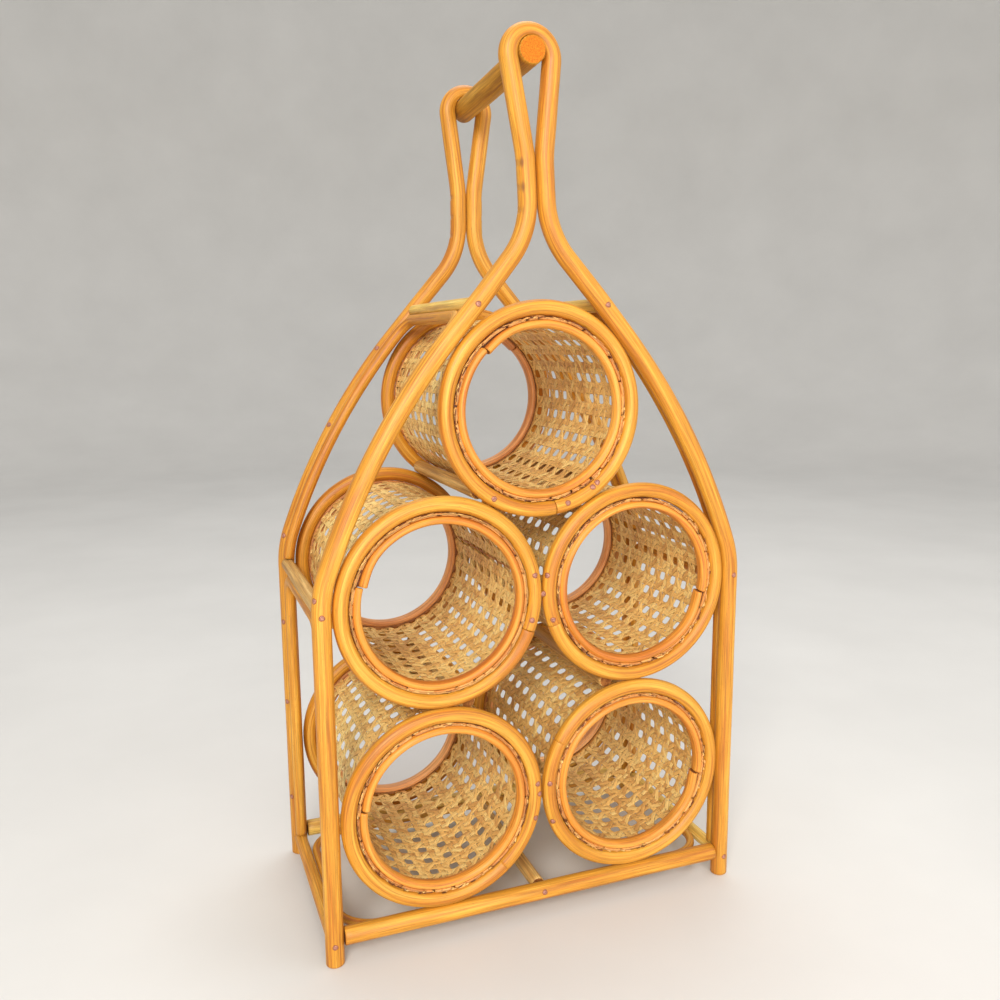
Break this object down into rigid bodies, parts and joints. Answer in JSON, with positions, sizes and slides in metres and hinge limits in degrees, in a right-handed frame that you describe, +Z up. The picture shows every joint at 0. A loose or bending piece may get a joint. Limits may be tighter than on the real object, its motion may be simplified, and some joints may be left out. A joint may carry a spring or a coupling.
{
  "type": "wine bottle basket",
  "caption": "Bent-cane wine bottle rack: woven cane tubes stacked in a pyramid between looped front and back frames, with a wooden dowel as the carrying handle.",
  "frame": {"origin": "on the floor, under the middle of the rack", "axes": "+Z up along the height, -Y towards the tubes' front mouths, +X to the right seen from the front"},
  "size_m": [0.2656, 0.1396, 0.5122],
  "materials": {
    "honey_cane": "lacquered rattan cane, satin",
    "red_cane": "lacquered rattan cane, redder, satin",
    "pale_cane": "pale peeled cane, satin",
    "dowel_wood": "turned hardwood, satin, orange end grain",
    "cane_webbing": "woven six-way cane webbing, matt",
    "nail_steel": "small dull nail heads"
  },
  "bodies": {
    "root": {"front_frame": "honey_cane", "back_frame": "honey_cane", "front_bottom_rail": "honey_cane", "back_bottom_rail": "honey_cane", "left_bottom_rail": "honey_cane", "right_bottom_rail": "honey_cane", "base_hoop": "honey_cane", "left_mid_spacer": "honey_cane", "right_mid_spacer": "honey_cane", "left_upper_brace": "honey_cane", "right_upper_brace": "honey_cane", "left_lower_brace": "honey_cane", "right_lower_brace": "honey_cane", "centre_cross_rail": "pale_cane", "left_upper_spacer": "pale_cane", "right_upper_spacer": "pale_cane", "upper_left_batten": "pale_cane", "upper_right_batten": "pale_cane", "lower_left_batten": "pale_cane", "lower_right_batten": "pale_cane", "handle_dowel": "dowel_wood", "top_webbing": "cane_webbing", "top_front_outer_ring": "honey_cane", "top_front_inner_ring": "red_cane", "top_back_outer_ring": "honey_cane", "top_back_inner_ring": "red_cane", "middle_left_webbing": "cane_webbing", "middle_left_front_outer_ring": "honey_cane", "middle_left_front_inner_ring": "red_cane", "middle_left_back_outer_ring": "honey_cane", "middle_left_back_inner_ring": "red_cane", "middle_right_webbing": "cane_webbing", "middle_right_front_outer_ring": "honey_cane", "middle_right_front_inner_ring": "red_cane", "middle_right_back_outer_ring": "honey_cane", "middle_right_back_inner_ring": "red_cane", "bottom_left_webbing": "cane_webbing", "bottom_left_front_outer_ring": "honey_cane", "bottom_left_front_inner_ring": "red_cane", "bottom_left_back_outer_ring": "honey_cane", "bottom_left_back_inner_ring": "red_cane", "bottom_right_webbing": "cane_webbing", "bottom_right_front_outer_ring": "honey_cane", "bottom_right_front_inner_ring": "red_cane", "bottom_right_back_outer_ring": "honey_cane", "bottom_right_back_inner_ring": "red_cane"}
  },
  "joints": []
}
